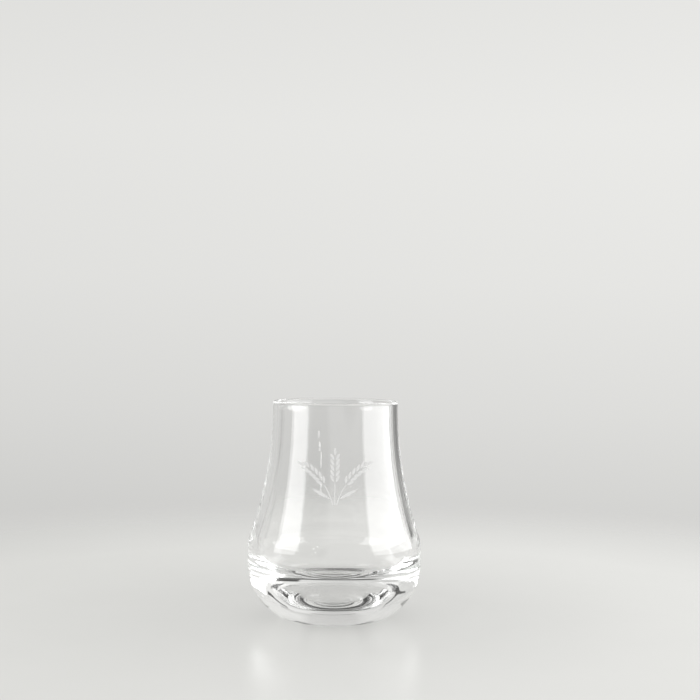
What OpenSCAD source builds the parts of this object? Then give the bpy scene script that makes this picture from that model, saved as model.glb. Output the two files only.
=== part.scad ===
// Stemless nosing glass: one clear glass body with a heavy base, a full belly and a narrow
// upright mouth, and a thin white barley print on the front of its wall.
// The origin is on the table under the middle of the foot. +Z is up and the front faces -Y.

/* [Overall] */
// Height from the table to the top of the lip
height = 90; // [80:1:105]
// Widest outside diameter, at the belly
belly_d = 72.4; // [66:0.2:82]
// Outside diameter of the mouth
mouth_d = 52.2; // [46:0.2:58]
// Diameter at which the rounded base would meet the table
foot_d = 43.8; // [38:0.2:50]

/* [Outer curve] */
// Height at which the rounded base reaches full width
base_round_h = 22.5; // [19:0.5:26]
// Height of the upright band at full width
belly_band = 6.7; // [2:0.1:9]
// Radius of the rounded shoulder above the belly
shoulder_r = 14.5; // [8:0.5:40]
// Height of the upright neck below the top of the lip
neck_h = 2.4; // [2:0.1:8]
// Radius of the rounded edge at the outside of the foot ring
foot_edge_r = 1.6; // [0.6:0.1:2.4]

/* [Wall and floor] */
// Wall thickness at the mouth, rounded over as the lip
lip_t = 2.3; // [1.4:0.1:2.8]
// Wall thickness at the belly
belly_t = 4.2; // [3:0.1:5]
// Height of the middle of the floor above the table
floor_h = 10.3; // [9:0.1:13]
// Radius of the shallow dish in the middle of the floor
floor_dish_r = 90; // [60:1:150]
// Distance from the axis to where the dish turns up into the side of the bowl
floor_flat_r = 9; // [6:0.5:12]
// Height above the table of the top of the bowl's corner, where the wall is upright
bowl_corner_h = 27.8; // [26:0.1:30]
// Radius of the bowl's corner
bowl_corner_r = 9; // [5:0.5:11]

/* [Underside] */
// Diameter of the hollow under the base, where its curve would meet the table
punt_d = 34; // [26:0.5:36]
// Depth of the hollow in the middle
punt_depth = 5; // [2:0.1:6]
// Radius of the rounded edge between the hollow and the foot ring
punt_edge_r = 1; // [0.4:0.1:1.6]

/* [Barley print] */
// Height of the foot of the stems above the table
print_z = 50; // [44:0.5:54]
// Thickness of the fired print
print_t = 0.1; // [0.06:0.02:0.2]
// Length of each stem below its first grains
stem_l = 9; // [6:0.5:11]
// Width of the stems
stem_w = 0.4; // [0.3:0.05:0.6]
// Space between neighbouring stems at their foot
stem_gap = 0.4; // [0.3:0.05:0.8]
// Bend radius of the two side stems
stem_bend_r = 24; // [20:1:40]
// Angle of the two side stems from upright at their foot
stem_lean = 14; // [8:1:18]
// Pairs of grains on each ear
grain_pairs = 5; // [3:1:5]
// Length of a grain
grain_l = 3.2; // [2.4:0.1:3.6]
// Width of a grain
grain_w = 1.1; // [0.8:0.1:1.2]
// Distance along the ear from one pair of grains to the next
grain_pitch = 2.1; // [1.9:0.1:2.6]
// Angle of the grains from the line of their ear
grain_lean = 28; // [26:1:34]
// Distance from the line of the ear to the foot of each grain
grain_offset = 0.35; // [0.25:0.05:0.5]
// Length of a leaf
leaf_l = 8; // [5:0.5:9]
// Width of a leaf
leaf_w = 1.3; // [0.8:0.1:1.8]
// Height of the foot of the leaves above the foot of the stems
leaf_rise = 2.4; // [1.5:0.1:3.5]
// Distance from the middle of the print to the foot of each leaf
leaf_reach = 2; // [1.9:0.1:3]
// Angle of the leaves from upright
leaf_lean = 62; // [55:1:75]

/* [Hidden] */

// Straight steps that stand for one arc of the outline
arc_steps = 14;
// Straight steps that stand for a full turn
$fn = 180;

// Outside: the S of the wall is two arcs that meet at one slope, from the belly to the neck
belly_r = belly_d / 2;
neck_r = mouth_d / 2;
belly_top_z = base_round_h + belly_band;
neck_z = height - neck_h;
wall_slope = s_slope(belly_r - neck_r, neck_z - belly_top_z);
hollow_r = s_radius(belly_r - neck_r, neck_z - belly_top_z) - shoulder_r;
shoulder_share = shoulder_r / (shoulder_r + hollow_r);

// Base: one arc from the belly band down to the foot, and a small rounded edge at the table
base_r = base_round_h / sin(s_slope(belly_r - foot_d / 2, base_round_h));
base_x = belly_r - base_r;
foot_edge_x = base_x + leg(base_r - foot_edge_r, base_round_h - foot_edge_r);
foot_edge_angle = atan2(foot_edge_r - base_round_h, foot_edge_x - base_x);

// Underside: a shallow cap, and a small rounded edge at the table
punt_r = (pow(punt_d / 2, 2) + pow(punt_depth, 2)) / (2 * punt_depth);
punt_centre_z = punt_depth - punt_r;
punt_edge_x = leg(punt_r + punt_edge_r, punt_edge_r - punt_centre_z);
punt_edge_angle = atan2(punt_edge_r - punt_centre_z, punt_edge_x);

// Inside: the same S, drawn in by the wall, down to the corner of the bowl
bowl_r = belly_r - belly_t;
throat_r = neck_r - lip_t;
lip_r = lip_t / 2;
corner_x = bowl_r - bowl_corner_r;
bowl_top_z = max(belly_top_z, bowl_corner_h);
bowl_slope = s_slope(bowl_r - throat_r, neck_z - bowl_top_z);
bowl_shoulder_r = shoulder_share * s_radius(bowl_r - throat_r, neck_z - bowl_top_z);
bowl_hollow_r = s_radius(bowl_r - throat_r, neck_z - bowl_top_z) - bowl_shoulder_r;

// Floor: a shallow dish, and a side arc that runs on from it and into the corner
dish_centre_z = floor_h + floor_dish_r;
dish_angle = asin(floor_flat_r / floor_dish_r) - 90;
dish_edge_z = dish_centre_z + floor_dish_r * sin(dish_angle);
corner_run = corner_x - floor_flat_r;
corner_rise = bowl_corner_h - dish_edge_z;
corner_reach = -corner_run * cos(dish_angle) - corner_rise * sin(dish_angle);
corner_power = pow(corner_run, 2) + pow(corner_rise, 2) - pow(bowl_corner_r, 2);
side_r = corner_power / (2 * (corner_reach - bowl_corner_r));
side_x = floor_flat_r - side_r * cos(dish_angle);
side_z = dish_edge_z - side_r * sin(dish_angle);
side_angle = atan2(bowl_corner_h - side_z, corner_x - side_x);

// Steepest slope of an S of two equal-slope arcs, and the sum of their radii
function s_slope(drop, rise) = 2 * atan(drop / rise);
function s_radius(drop, rise) = rise / sin(s_slope(drop, rise));

// The third side of a right triangle
function leg(long_side, side) = sqrt(pow(long_side, 2) - pow(side, 2));

// Points along an arc about a centre
function arc(x, z, r, from, to) = [
    for (step = [0 : arc_steps])
        let (angle = from + (to - from) * step / arc_steps)
            [x + r * cos(angle), z + r * sin(angle)]
];

function reversed(points) = [for (i = [len(points) - 1 : -1 : 0]) points[i]];

// Outer wall from the belly band up to the neck
outer_wall = concat(
    arc(belly_r - shoulder_r, belly_top_z, shoulder_r, 0, wall_slope),
    arc(neck_r + hollow_r, neck_z, hollow_r, 180 + wall_slope, 180)
);

// Rounded base from the table up to the belly band
outer_base = concat(
    arc(foot_edge_x, foot_edge_r, foot_edge_r, -90, foot_edge_angle),
    arc(base_x, base_round_h, base_r, foot_edge_angle, 0)
);

// Hollow under the base, from its middle out to the table
underside = concat(
    arc(0, punt_centre_z, punt_r, 90, punt_edge_angle),
    arc(punt_edge_x, punt_edge_r, punt_edge_r, 180 + punt_edge_angle, 270)
);

lip = arc(neck_r - lip_r, height - lip_r, lip_r, 0, 180);

// Inner wall from the neck down to the middle of the floor
inner_wall = concat(
    arc(throat_r + bowl_hollow_r, neck_z, bowl_hollow_r, 180, 180 + bowl_slope),
    arc(bowl_r - bowl_shoulder_r, bowl_top_z, bowl_shoulder_r, bowl_slope, 0),
    arc(corner_x, bowl_corner_h, bowl_corner_r, 0, side_angle),
    arc(side_x, side_z, side_r, side_angle, dish_angle),
    arc(0, dish_centre_z, floor_dish_r, dish_angle, -90)
);

module glass_body() {
    color([0.86, 0.90, 0.90, 0.35])
        rotate_extrude()
            polygon(concat(underside, outer_base, outer_wall, lip, inner_wall));
}

// Film of the print's thickness, all round the outside of the wall
module wall_film() {
    film_face = [for (point = outer_wall) [point[0] + print_t, point[1]]];
    rotate_extrude()
        polygon(concat(outer_wall, reversed(film_face)));
}

// Pointed oval with its foot at the origin, along +Y
module pointed_oval(length, width) {
    side_r = (pow(length, 2) + pow(width, 2)) / (4 * width);
    side_x = side_r - width / 2;
    translate([0, length / 2])
        intersection() {
            translate([side_x, 0]) circle(r = side_r);
            translate([-side_x, 0]) circle(r = side_r);
        }
}

// Two grains, one on each side of the ear's line
module grain_pair() {
    for (side = [-1, 1])
        translate([side * grain_offset, 0])
            rotate(-side * grain_lean)
                pointed_oval(grain_l, grain_w);
}

// Upright stem with its ear
module middle_ear() {
    translate([-stem_w / 2, 0]) square([stem_w, stem_l - grain_offset]);
    for (pair = [0 : grain_pairs - 1])
        translate([0, stem_l + pair * grain_pitch]) grain_pair();
    translate([0, stem_l + grain_pairs * grain_pitch]) pointed_oval(grain_l, grain_w);
}

// Angle from upright of the bent side stem at a distance along it
function stem_angle(distance) = stem_lean + distance / stem_bend_r * 180 / PI;

// Bent stem with its ear, leaning towards +X, with its foot at the origin
module side_ear() {
    bend_x = stem_bend_r * cos(stem_lean);
    bend_y = -stem_bend_r * sin(stem_lean);
    foot_angle = 180 - stem_angle(0);
    top_angle = 180 - stem_angle(stem_l - grain_offset);
    near_side = arc(bend_x, bend_y, stem_bend_r - stem_w / 2, foot_angle, top_angle);
    far_side = arc(bend_x, bend_y, stem_bend_r + stem_w / 2, foot_angle, top_angle);
    polygon(concat(far_side, reversed(near_side)));
    for (pair = [0 : grain_pairs])
        let (lean = stem_angle(stem_l + pair * grain_pitch))
            translate([bend_x - stem_bend_r * cos(lean), bend_y + stem_bend_r * sin(lean)])
                rotate(-lean)
                    if (pair < grain_pairs)
                        grain_pair();
                    else
                        pointed_oval(grain_l, grain_w);
}

// The whole print drawn flat, with the foot of the stems at the origin
module barley_spray() {
    middle_ear();
    for (side = [0, 1])
        mirror([side, 0]) {
            translate([stem_w + stem_gap, 0]) side_ear();
            translate([leaf_reach, leaf_rise])
                rotate(-leaf_lean)
                    pointed_oval(leaf_l, leaf_w);
        }
}

module barley_print() {
    color([0.95, 0.95, 0.94])
        intersection() {
            wall_film();
            translate([0, 0, print_z])
                rotate([90, 0, 0])
                    linear_extrude(belly_r)
                        barley_spray();
        }
}

glass_body();
barley_print();
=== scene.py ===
"""Looks of a stemless nosing glass: clear glass with a heavy base and a fine white barley print.

It stands on a pale floor in a plain studio.
"""

import math

import bpy
from mathutils import Matrix, Vector


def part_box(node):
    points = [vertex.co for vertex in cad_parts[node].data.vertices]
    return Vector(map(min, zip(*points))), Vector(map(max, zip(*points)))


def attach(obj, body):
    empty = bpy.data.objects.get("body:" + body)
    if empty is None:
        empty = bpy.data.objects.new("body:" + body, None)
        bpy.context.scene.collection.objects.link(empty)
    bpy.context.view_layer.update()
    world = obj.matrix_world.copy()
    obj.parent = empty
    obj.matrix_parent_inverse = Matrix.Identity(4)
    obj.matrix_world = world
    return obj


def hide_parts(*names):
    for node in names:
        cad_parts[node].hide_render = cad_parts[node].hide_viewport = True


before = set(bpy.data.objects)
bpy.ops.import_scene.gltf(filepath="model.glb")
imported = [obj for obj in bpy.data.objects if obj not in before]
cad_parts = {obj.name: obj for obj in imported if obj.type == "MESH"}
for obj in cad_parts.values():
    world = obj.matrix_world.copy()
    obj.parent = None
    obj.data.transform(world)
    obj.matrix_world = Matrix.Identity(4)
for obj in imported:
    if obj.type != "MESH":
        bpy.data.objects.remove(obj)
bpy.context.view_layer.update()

# Metres in a millimetre: the sizes below are in millimetres
MM = 0.001

# Outside of the glass
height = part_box("glass_body")[1].z / MM
belly_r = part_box("glass_body")[1].x / MM
mouth_d = 52.2
foot_d = 43.8
base_round_h = 22.5
belly_band = 6.7
shoulder_r = 14.5
neck_h = 2.4
foot_edge_r = 1.6

# Wall and floor
lip_t = 2.3
belly_t = 4.2
floor_h = 10.3
floor_dish_r = 90
floor_flat_r = 9
bowl_corner_h = 27.8
bowl_corner_r = 9

# Hollow under the base
punt_d = 34
punt_depth = 5
punt_edge_r = 1

# Longest and shortest step along an outline, its largest turn in degrees, the fewest steps of an arc,
# and the steps of a full turn
step_length = 1.2
least_step = 0.01
step_turn = 2.5
least_arc_steps = 6
turn_steps = 224


def arc(x, z, r, start, end):
    """Points along an arc about a centre, in the plane of radius and height, by angles in degrees."""
    turn = abs(end - start)
    length = r * math.radians(turn)
    steps = max(least_arc_steps, math.ceil(turn / step_turn), math.ceil(length / step_length))
    angles = [math.radians(start + (end - start) * k / steps) for k in range(steps + 1)]
    return [(x + r * math.cos(a), z + r * math.sin(a)) for a in angles]


def leg(long_side, side):
    """The third side of a right triangle."""
    return math.sqrt(long_side ** 2 - side ** 2)


def s_curve(drop, rise):
    """Two arcs that meet at one slope: that slope, in degrees, and the sum of their radii."""
    slope = 2 * math.atan(drop / rise)
    return math.degrees(slope), rise / math.sin(slope)


# Outer wall: a tight shoulder above the belly and one long hollow sweep up to the neck
neck_r = mouth_d / 2
belly_top_z = base_round_h + belly_band
neck_z = height - neck_h
wall_slope, wall_radii = s_curve(belly_r - neck_r, neck_z - belly_top_z)
hollow_r = wall_radii - shoulder_r


def outer_wall():
    shoulder = arc(belly_r - shoulder_r, belly_top_z, shoulder_r, 0, wall_slope)
    hollow = arc(neck_r + hollow_r, neck_z, hollow_r, 180 + wall_slope, 180)
    return shoulder + hollow


def outer_base():
    """From the table, round the edge of the foot, up to the belly band."""
    base_r = s_curve(belly_r - foot_d / 2, base_round_h)[1]
    base_x = belly_r - base_r
    edge_x = base_x + leg(base_r - foot_edge_r, base_round_h - foot_edge_r)
    edge_angle = math.degrees(math.atan2(foot_edge_r - base_round_h, edge_x - base_x))
    edge = arc(edge_x, foot_edge_r, foot_edge_r, -90, edge_angle)
    return edge + arc(base_x, base_round_h, base_r, edge_angle, 0)


def underside():
    """The shallow hollow under the base, from its middle out to the table."""
    punt_r = ((punt_d / 2) ** 2 + punt_depth ** 2) / (2 * punt_depth)
    centre_z = punt_depth - punt_r
    edge_x = leg(punt_r + punt_edge_r, punt_edge_r - centre_z)
    edge_angle = math.degrees(math.atan2(punt_edge_r - centre_z, edge_x))
    hollow = arc(0, centre_z, punt_r, 90, edge_angle)
    return hollow + arc(edge_x, punt_edge_r, punt_edge_r, 180 + edge_angle, 270)


def inner_wall():
    """From the lip down to the top of the bowl's corner."""
    bowl_r = belly_r - belly_t
    throat_r = neck_r - lip_t
    bowl_top_z = max(belly_top_z, bowl_corner_h)
    slope, radii = s_curve(bowl_r - throat_r, neck_z - bowl_top_z)
    bowl_shoulder_r = radii * shoulder_r / wall_radii
    bowl_hollow_r = radii - bowl_shoulder_r
    hollow = arc(throat_r + bowl_hollow_r, neck_z, bowl_hollow_r, 180, 180 + slope)
    return hollow + arc(bowl_r - bowl_shoulder_r, bowl_top_z, bowl_shoulder_r, slope, 0)


def floor_of_bowl():
    """Round the corner, down a side arc that runs on into the shallow dish, and in to the axis."""
    corner = Vector((belly_r - belly_t - bowl_corner_r, bowl_corner_h))
    dish_turn = math.asin(floor_flat_r / floor_dish_r)
    dish_z = floor_h + floor_dish_r
    dish_edge = Vector((floor_flat_r, dish_z - floor_dish_r * math.cos(dish_turn)))
    upward = Vector((-math.sin(dish_turn), math.cos(dish_turn)))
    reach = corner - dish_edge
    side_r = (reach.length_squared - bowl_corner_r ** 2) / (2 * (reach.dot(upward) - bowl_corner_r))
    side = dish_edge + side_r * upward
    side_angle = math.degrees(math.atan2(corner.y - side.y, corner.x - side.x))
    dish_angle = math.degrees(dish_turn) - 90
    points = arc(corner.x, corner.y, bowl_corner_r, 0, side_angle)
    points += arc(side.x, side.y, side_r, side_angle, dish_angle)
    return points + arc(0, dish_z, floor_dish_r, dish_angle, -90)


def glass_outline():
    """The half section of the glass, from the middle of its underside to the middle of its floor."""
    lip_r = lip_t / 2
    lip = arc(neck_r - lip_r, height - lip_r, lip_r, 0, 180)
    points = []
    for point in underside() + outer_base() + outer_wall() + lip + inner_wall() + floor_of_bowl():
        if not points or math.dist(point, points[-1]) > least_step:
            points.append(point)
    return points


def mesh_object(name, vertices, faces):
    mesh = bpy.data.meshes.new(name)
    mesh.from_pydata(vertices, [], faces)
    mesh.validate()
    for polygon in mesh.polygons:
        polygon.use_smooth = True
    piece = bpy.data.objects.new(name, mesh)
    bpy.context.scene.collection.objects.link(piece)
    return piece


def lathe(name, outline):
    """A closed body of revolution whose outline starts and ends on the axis."""
    vertices = [(0, 0, outline[0][1] * MM), (0, 0, outline[-1][1] * MM)]
    first = len(vertices)
    for r, z in outline[1:-1]:
        for k in range(turn_steps):
            angle = 2 * math.pi * k / turn_steps
            vertices.append((r * MM * math.cos(angle), r * MM * math.sin(angle), z * MM))
    last = len(vertices) - turn_steps
    faces = []
    for k in range(turn_steps):
        beside = (k + 1) % turn_steps
        faces.append((0, first + beside, first + k))
        faces.append((1, last + k, last + beside))
        for low in range(first, last, turn_steps):
            high = low + turn_steps
            faces.append((low + k, low + beside, high + beside, high + k))
    return mesh_object(name, vertices, faces)


class Nodes:
    """Short way to add and link the nodes of a material, world or lamp."""

    def __init__(self, owner):
        owner.use_nodes = True
        self.tree = owner.node_tree
        self.tree.nodes.clear()

    def add(self, kind, **settings):
        node = self.tree.nodes.new(kind)
        for name, value in settings.items():
            setattr(node, name, value)
        return node

    def link(self, source, target):
        self.tree.links.new(source, target)

    def math(self, operation, *values):
        """The result of one operation on sockets and plain numbers."""
        node = self.add("ShaderNodeMath", operation=operation)
        for socket, value in zip(node.inputs, values):
            if isinstance(value, bpy.types.NodeSocket):
                self.link(value, socket)
            else:
                socket.default_value = value
        return node.outputs["Value"]

    def noise(self, scale, detail=2.0):
        """A noise of the object's own coordinates, with its features about 1 / scale metres across."""
        place = self.add("ShaderNodeTexCoord")
        noise = self.add("ShaderNodeTexNoise")
        noise.inputs["Scale"].default_value = scale
        noise.inputs["Detail"].default_value = detail
        self.link(place.outputs["Object"], noise.inputs["Vector"])
        return noise

    def span(self, source, low, high, from_low=0.0, from_high=1.0):
        """The source's range spread from low to high."""
        node = self.add("ShaderNodeMapRange")
        node.inputs["From Min"].default_value = from_low
        node.inputs["From Max"].default_value = from_high
        node.inputs["To Min"].default_value = low
        node.inputs["To Max"].default_value = high
        self.link(source, node.inputs["Value"])
        return node.outputs["Result"]

    def ramp(self, source, stops, tint):
        """Tinted levels along a source from -1 to 1, given as rising pairs of source and level."""
        node = self.add("ShaderNodeValToRGB")
        elements = node.color_ramp.elements
        elements.remove(elements[-1])
        for number, (value, level) in enumerate(stops):
            position = (value + 1) / 2
            element = elements[0] if number == 0 else elements.new(position)
            element.position = position
            element.color = [level * share for share in tint] + [1]
        self.link(self.span(source, 0, 1, -1, 1), node.inputs["Fac"])
        return node.outputs["Color"]


# Glass: its index, the share of light that one surface lets through, and what the body absorbs
glass_ior = 1.51
light_share = 0.91
absorbed_tint = (0.93, 0.95, 0.94, 1)
absorption_density = 1.5
# Polish: the noise's scale, the range of it over which the surface dulls, and the roughness reached
polish_scale = 60
polish_range = (0.45, 0.75)
polish_roughness = 0.012
# Waves in the surface: the noise's scale, the bump's strength, and its depth in metres
wave_scale = 45
wave_strength = 0.02
wave_depth = 0.0003


def clear_glass():
    """Colourless glass, with the faint unevenness of a fire-polished surface."""
    material = bpy.data.materials.new("clear_glass")
    nodes = Nodes(material)
    shader = nodes.add("ShaderNodeBsdfPrincipled")
    shader.inputs["Base Color"].default_value = (1, 1, 1, 1)
    shader.inputs["IOR"].default_value = glass_ior
    shader.inputs["Transmission Weight"].default_value = 1
    polish = nodes.noise(polish_scale)
    roughness = nodes.span(polish.outputs["Fac"], 0, polish_roughness, *polish_range)
    nodes.link(roughness, shader.inputs["Roughness"])
    wave = nodes.noise(wave_scale, detail=0.0)
    bump = nodes.add("ShaderNodeBump")
    bump.inputs["Strength"].default_value = wave_strength
    bump.inputs["Distance"].default_value = wave_depth
    nodes.link(wave.outputs["Fac"], bump.inputs["Height"])
    nodes.link(bump.outputs["Normal"], shader.inputs["Normal"])
    path = nodes.add("ShaderNodeLightPath")
    light_through = nodes.add("ShaderNodeBsdfTransparent")
    light_through.inputs["Color"].default_value = (light_share, light_share, light_share, 1)
    mix = nodes.add("ShaderNodeMixShader")
    lighting = nodes.math("MAXIMUM", path.outputs["Is Shadow Ray"], path.outputs["Is Diffuse Ray"])
    nodes.link(lighting, mix.inputs[0])
    nodes.link(shader.outputs["BSDF"], mix.inputs[1])
    nodes.link(light_through.outputs["BSDF"], mix.inputs[2])
    output = nodes.add("ShaderNodeOutputMaterial")
    nodes.link(mix.outputs["Shader"], output.inputs["Surface"])
    absorption = nodes.add("ShaderNodeVolumeAbsorption")
    absorption.inputs["Color"].default_value = absorbed_tint
    absorption.inputs["Density"].default_value = absorption_density
    nodes.link(absorption.outputs["Volume"], output.inputs["Volume"])
    return material


# Frit: the grain's scale and detail, its two tones and the range of the grain between them
grain_scale = 5200
grain_detail = 3.0
frit_dark = (0.82, 0.82, 0.81, 1)
frit_light = (0.95, 0.95, 0.94, 1)
tone_range = (0.3, 0.7)
# Its roughness, how opaque it is, and the grain's bump, with the depth in metres
frit_roughness = (0.5, 0.8)
frit_alpha = 0.7
grain_strength = 0.3
grain_depth = 0.00003


def white_frit():
    """Thin fired white, finely grained and a little see-through."""
    material = bpy.data.materials.new("white_frit")
    nodes = Nodes(material)
    shader = nodes.add("ShaderNodeBsdfPrincipled")
    grain = nodes.noise(grain_scale, grain_detail)
    tone = nodes.add("ShaderNodeValToRGB")
    for element, position, color in zip(tone.color_ramp.elements, tone_range, (frit_dark, frit_light)):
        element.position = position
        element.color = color
    nodes.link(grain.outputs["Fac"], tone.inputs["Fac"])
    nodes.link(tone.outputs["Color"], shader.inputs["Base Color"])
    nodes.link(nodes.span(grain.outputs["Fac"], *frit_roughness), shader.inputs["Roughness"])
    shader.inputs["Alpha"].default_value = frit_alpha
    bump = nodes.add("ShaderNodeBump")
    bump.inputs["Strength"].default_value = grain_strength
    bump.inputs["Distance"].default_value = grain_depth
    nodes.link(grain.outputs["Fac"], bump.inputs["Height"])
    nodes.link(bump.outputs["Normal"], shader.inputs["Normal"])
    output = nodes.add("ShaderNodeOutputMaterial")
    nodes.link(shader.outputs["BSDF"], output.inputs["Surface"])
    return material


def make_glass():
    glass = lathe("glass", glass_outline())
    glass.data.materials.append(clear_glass())
    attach(glass, "root")
    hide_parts("glass_body")


def finish_print(frit):
    """The print's own solids stay, with the frit on them."""
    print_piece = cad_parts["barley_print"]
    print_piece.data.materials.clear()
    print_piece.data.materials.append(frit)


# Studio, in metres: a pale floor that fades into a pale surround, two soft panels and two small lamps
floor_size = 1.5
floor_gap = 0.00005
floor_fade_start = 0.12
floor_fade_end = 0.42
# Shades of the floor to the left and right of the glass, a little warm, how far out they are reached,
# and the faint clouds in them. The step from the darker left to the lighter right is painted light, in
# place of the panels' light on the floor
floor_shaded_left = (0.715, 0.715, 0.69, 1)
floor_lit_right = (0.84, 0.84, 0.815, 1)
painted_light_reach = 0.2
cloud_scale = 25
cloud_share = 0.15
# The floor has a soft gloss round the glass and is matt further off
floor_specular = 0.3
floor_roughness = 0.25
gloss_start = 0.07
gloss_end = 0.2

# Degrees in half a turn, and a tint that changes nothing
half_turn = 180
untinted = (1, 1, 1)

# Levels of the surround by elevation in degrees, and its tint
surround_levels = [
    (-90, 0.62), (-7, 0.64), (-3, 0.71), (2, 0.77), (8, 0.80),
    (13, 0.77), (20, 0.72), (43, 0.68), (90, 0.6),
]
surround_tint = (1.0, 0.998, 0.975)
# How much lighter the surround is far right, and darker far left, than in the middle
surround_tilt = 0.14
# Top of the pale surround, dark above: azimuth from straight behind the glass with left negative, and
# elevation, in degrees
surround_top = [
    (-180, 45), (-60, 45), (-46, 36), (-38, 32), (-20, 33), (0, 34.5), (20, 33),
    (40, 31), (64, 35), (76, 45), (84, 70), (150, 70), (180, 45),
]
# The width over which the top fades, in degrees, and the share of the surround's level above it
top_soft = 2.5
top_share = 0.06
# Dark lines low down, behind the glass and at both sides: azimuth and elevation as above, and half the
# width. Between them the line runs out of sight under the floor
under_floor = -60
backdrop_edge = [
    (-180, under_floor, 1), (-72, under_floor, 1),
    (-66, 2, 1), (-57, 6, 1), (-50, 10, 1), (-37, 9, 1.5),
    (-33, under_floor, 1), (-20, under_floor, 1),
    (-16, 5, 1), (16, 5, 1),
    (20, under_floor, 1), (30, under_floor, 1),
    (34, 8, 1.5), (38, 6, 1.5), (47, 8, 1.5), (55, 6, 1.5),
    (60, under_floor, 1), (180, under_floor, 1),
]
# The width over which the lines fade, in degrees, and their share of the surround's level
edge_soft = 1.0
edge_share = 0.04
# Dark flags round the glass: azimuth from the camera with left negative, elevation, radius and soft edge
# in degrees, and share of the surround's level
flags = [
    (-30, 10, 16, 8, 0.2),
    (136, 36, 10, 3, 0.05),
    (114, 40, 7, 2, 0.05),
    (124, 39, 7, 2, 0.05),
    (180, 12, 10, 6, 0.78),
    (180, -2, 16, 8, 0.9),
    (146, -6, 6, 3, 0.3),
    (157, -6, 6, 3, 0.3),
]
# The surround's even level as a light, at which a colour shows about as it is written
soft_light_level = 1.0

# Panels and lamps: azimuth from the camera in degrees with left negative, then distance, width, bottom
# and top in metres, and radiance
panels = {
    "left_panel": (-68, 1.0, 0.6, 0.0, 1.0, 3.3),
    "right_panel": (87, 1.0, 1.4, 0.0, 0.75, 2.8),
    "high_lamp": (-24, 1.0, 0.04, 0.19, 0.25, 6.0),
    "low_lamp": (-29, 1.0, 0.04, 0.112, 0.134, 6.0),
}
# Surfaces that a ray crosses on its way straight through both walls of the bowl
wall_surfaces = 4


def make_floor():
    """Pale and a little clouded, with painted light darker to the left and lighter to the right, a soft
    gloss near the glass, and clear where it has faded out.
    """
    corners = [(-1, -1), (1, -1), (1, 1), (-1, 1)]
    vertices = [(x * floor_size, y * floor_size, -floor_gap) for x, y in corners]
    floor = mesh_object("floor", vertices, [(0, 1, 2, 3)])
    material = bpy.data.materials.new("pale_floor")
    nodes = Nodes(material)
    shader = nodes.add("ShaderNodeBsdfPrincipled")
    shader.inputs["Specular IOR Level"].default_value = floor_specular
    shader.inputs["Roughness"].default_value = floor_roughness
    place = nodes.add("ShaderNodeTexCoord")
    parts = nodes.add("ShaderNodeSeparateXYZ")
    nodes.link(place.outputs["Object"], parts.inputs[0])
    # Painted light: the floor's colour runs from shaded on the left to lit on the right, where the
    # panels' light would fall
    across = nodes.span(parts.outputs["X"], -1, 1, -painted_light_reach, painted_light_reach)
    cloud = nodes.span(nodes.noise(cloud_scale).outputs["Fac"], -cloud_share, cloud_share)
    shade = nodes.add("ShaderNodeValToRGB")
    shade.color_ramp.elements[0].color = floor_shaded_left
    shade.color_ramp.elements[1].color = floor_lit_right
    nodes.link(nodes.span(nodes.math("ADD", across, cloud), 0, 1, -1, 1), shade.inputs["Fac"])
    nodes.link(shade.outputs["Color"], shader.inputs["Base Color"])
    reach = nodes.add("ShaderNodeVectorMath", operation="LENGTH")
    nodes.link(place.outputs["Object"], reach.inputs[0])
    distance = reach.outputs["Value"]
    matt = nodes.add("ShaderNodeBsdfDiffuse")
    nodes.link(shade.outputs["Color"], matt.inputs["Color"])
    finish = nodes.add("ShaderNodeMixShader")
    nodes.link(nodes.span(distance, 0, 1, gloss_start, gloss_end), finish.inputs[0])
    nodes.link(shader.outputs["BSDF"], finish.inputs[1])
    nodes.link(matt.outputs["BSDF"], finish.inputs[2])
    fade = nodes.add("ShaderNodeMapRange", interpolation_type="SMOOTHSTEP")
    fade.inputs["From Min"].default_value = floor_fade_start
    fade.inputs["From Max"].default_value = floor_fade_end
    nodes.link(distance, fade.inputs["Value"])
    clear = nodes.add("ShaderNodeBsdfTransparent")
    mix = nodes.add("ShaderNodeMixShader")
    nodes.link(fade.outputs["Result"], mix.inputs[0])
    nodes.link(finish.outputs["Shader"], mix.inputs[1])
    nodes.link(clear.outputs["BSDF"], mix.inputs[2])
    output = nodes.add("ShaderNodeOutputMaterial")
    nodes.link(mix.outputs["Shader"], output.inputs["Surface"])
    floor.data.materials.append(material)
    return floor


def direction(azimuth, elevation):
    """Unit vector by azimuth from the camera's side, with left negative, and elevation, in degrees."""
    turn = math.radians(azimuth)
    rise = math.radians(elevation)
    return (math.sin(turn) * math.cos(rise), -math.cos(turn) * math.cos(rise), math.sin(rise))


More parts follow.
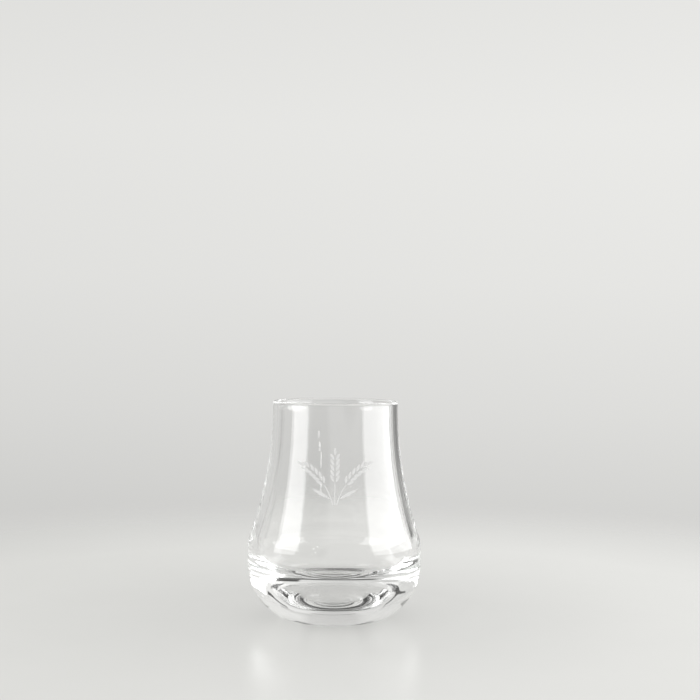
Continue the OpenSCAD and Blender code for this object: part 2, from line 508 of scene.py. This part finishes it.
def make_surround():
    """Seen directly, the surround is plain and pale; as a light it is one soft level.

    The glass mirrors and refracts it with its dark top, lines and flags.
    """
    world = bpy.data.worlds.new("surround")
    bpy.context.scene.world = world
    nodes = Nodes(world)
    place = nodes.add("ShaderNodeTexCoord")
    parts = nodes.add("ShaderNodeSeparateXYZ")
    nodes.link(place.outputs["Generated"], parts.inputs[0])
    heights = [(math.sin(math.radians(elevation)), level) for elevation, level in surround_levels]
    levels = nodes.ramp(parts.outputs["Z"], heights, surround_tint)
    # Bearing and elevation as shares of half a turn: from -1 to 1, and from 0 straight down to 1
    bearing = nodes.math("ARCTAN2", parts.outputs["X"], parts.outputs["Y"])
    bearing_share = nodes.math("DIVIDE", bearing, math.pi)
    rise = nodes.math("ARCSINE", parts.outputs["Z"])
    rise_share = nodes.math("MULTIPLY_ADD", rise, 1 / math.pi, 0.5)
    line_stops = [(turn / half_turn, lift / half_turn + 0.5) for turn, lift, half in backdrop_edge]
    line = nodes.ramp(bearing_share, line_stops, untinted)
    half_stops = [(turn / half_turn, half / half_turn) for turn, lift, half in backdrop_edge]
    half_width = nodes.ramp(bearing_share, half_stops, untinted)
    above_line = nodes.math("SUBTRACT", rise_share, line)
    outside_line = nodes.math("SUBTRACT", nodes.math("ABSOLUTE", above_line), half_width)
    flagged = nodes.span(outside_line, edge_share, 1, 0, edge_soft / half_turn)
    top_stops = [(turn / half_turn, lift / half_turn + 0.5) for turn, lift in surround_top]
    top = nodes.ramp(bearing_share, top_stops, untinted)
    above_top = nodes.math("SUBTRACT", rise_share, top)
    covered = nodes.span(above_top, 1, top_share, 0, top_soft / half_turn)
    flagged = nodes.math("MINIMUM", flagged, covered)
    for azimuth, elevation, radius, soft_edge, share in flags:
        closeness = nodes.add("ShaderNodeVectorMath", operation="DOT_PRODUCT")
        nodes.link(place.outputs["Generated"], closeness.inputs[0])
        closeness.inputs[1].default_value = direction(azimuth, elevation)
        rim = math.cos(math.radians(radius + soft_edge))
        inside = math.cos(math.radians(radius))
        flag = nodes.span(closeness.outputs["Value"], 1, share, rim, inside)
        flagged = nodes.math("MINIMUM", flagged, flag)
    path = nodes.add("ShaderNodeLightPath")
    shaded = nodes.math("MAXIMUM", flagged, path.outputs["Is Camera Ray"])
    tilt = nodes.math("MULTIPLY_ADD", parts.outputs["X"], surround_tilt, 1)
    strength = nodes.math("MULTIPLY", shaded, tilt)
    shown = nodes.add("ShaderNodeBackground")
    nodes.link(levels, shown.inputs["Color"])
    nodes.link(strength, shown.inputs["Strength"])
    soft = nodes.add("ShaderNodeBackground")
    soft.inputs["Color"].default_value = (1, 1, 1, 1)
    soft.inputs["Strength"].default_value = soft_light_level
    mirrored = nodes.math("MAXIMUM", path.outputs["Is Camera Ray"], path.outputs["Is Glossy Ray"])
    seen = nodes.math("MAXIMUM", mirrored, path.outputs["Is Transmission Ray"])
    mix = nodes.add("ShaderNodeMixShader")
    nodes.link(seen, mix.inputs[0])
    nodes.link(soft.outputs["Background"], mix.inputs[1])
    nodes.link(shown.outputs["Background"], mix.inputs[2])
    output = nodes.add("ShaderNodeOutputWorld")
    nodes.link(mix.outputs["Shader"], output.inputs["Surface"])


def make_panel(name, azimuth, distance, width, bottom, top, radiance, unlit):
    """A soft lamp that the glass mirrors and its base refracts, hidden straight through the bowl."""
    lamp = bpy.data.lights.new(name, "AREA")
    lamp.shape = "RECTANGLE"
    lamp.size = width
    lamp.size_y = top - bottom
    lamp.energy = radiance * math.pi * width * (top - bottom)
    nodes = Nodes(lamp)
    path = nodes.add("ShaderNodeLightPath")
    behind = nodes.math("GREATER_THAN", path.outputs["Transmission Depth"], wall_surfaces - 0.5)
    straight = nodes.math("LESS_THAN", path.outputs["Glossy Depth"], 0.5)
    shown = nodes.math("SUBTRACT", 1, nodes.math("MULTIPLY", behind, straight))
    emission = nodes.add("ShaderNodeEmission")
    nodes.link(shown, emission.inputs["Strength"])
    output = nodes.add("ShaderNodeOutputLight")
    nodes.link(emission.outputs["Emission"], output.inputs["Surface"])
    panel = bpy.data.objects.new(name, lamp)
    bpy.context.scene.collection.objects.link(panel)
    angle = math.radians(azimuth)
    middle = Vector((distance * math.sin(angle), -distance * math.cos(angle), (bottom + top) / 2))
    panel.location = middle
    panel.rotation_euler = Vector((-middle.x, -middle.y, 0)).to_track_quat("-Z", "Y").to_euler()
    panel.visible_camera = False
    panel.visible_diffuse = False
    panel.light_linking.receiver_collection = unlit


# Camera: square to the glass's front, a little above its lip. The image's width, the focal length and
# the point that looks straight along +Y are in pixels, distance and height in metres, the roll in
# radians, and the sensor in millimetres
image_width = 700
focal_pixels = 1436.4
level_pixel = (336.1, 330.9)
camera_distance = 0.600
camera_height = 0.1192
camera_roll = 0.009
sensor_width = 36


def make_camera():
    data = bpy.data.cameras.new("camera")
    data.sensor_width = sensor_width
    data.lens = sensor_width * focal_pixels / image_width
    camera = bpy.data.objects.new("camera", data)
    bpy.context.scene.collection.objects.link(camera)
    yaw = -math.atan((image_width / 2 - level_pixel[0]) / focal_pixels)
    pitch = -math.atan((image_width / 2 - level_pixel[1]) / focal_pixels)
    place = Matrix.Translation((0, -camera_distance, camera_height))
    aim = Matrix.Rotation(yaw, 4, "Z") @ Matrix.Rotation(math.pi / 2 + pitch, 4, "X")
    camera.matrix_world = place @ aim @ Matrix.Rotation(camera_roll, 4, "Z")
    bpy.context.scene.camera = camera


make_camera()
make_glass()
finish_print(white_frit())
# The panels and lamps leave the floor out; in their place the floor's colour carries painted light,
# lighter to the right
unlit = bpy.data.collections.new("unlit_by_panels")
unlit.objects.link(make_floor())
unlit.collection_objects[0].light_linking.link_state = "EXCLUDE"
make_surround()
for name, panel in panels.items():
    make_panel(name, *panel, unlit)

# Bounces enough for light that is mirrored again and again inside the base
bounces = 300
scene = bpy.context.scene
scene.view_settings.view_transform = "Standard"
scene.cycles.max_bounces = bounces
scene.cycles.transmission_bounces = bounces
scene.cycles.glossy_bounces = bounces
scene.cycles.caustics_reflective = False
scene.cycles.caustics_refractive = False
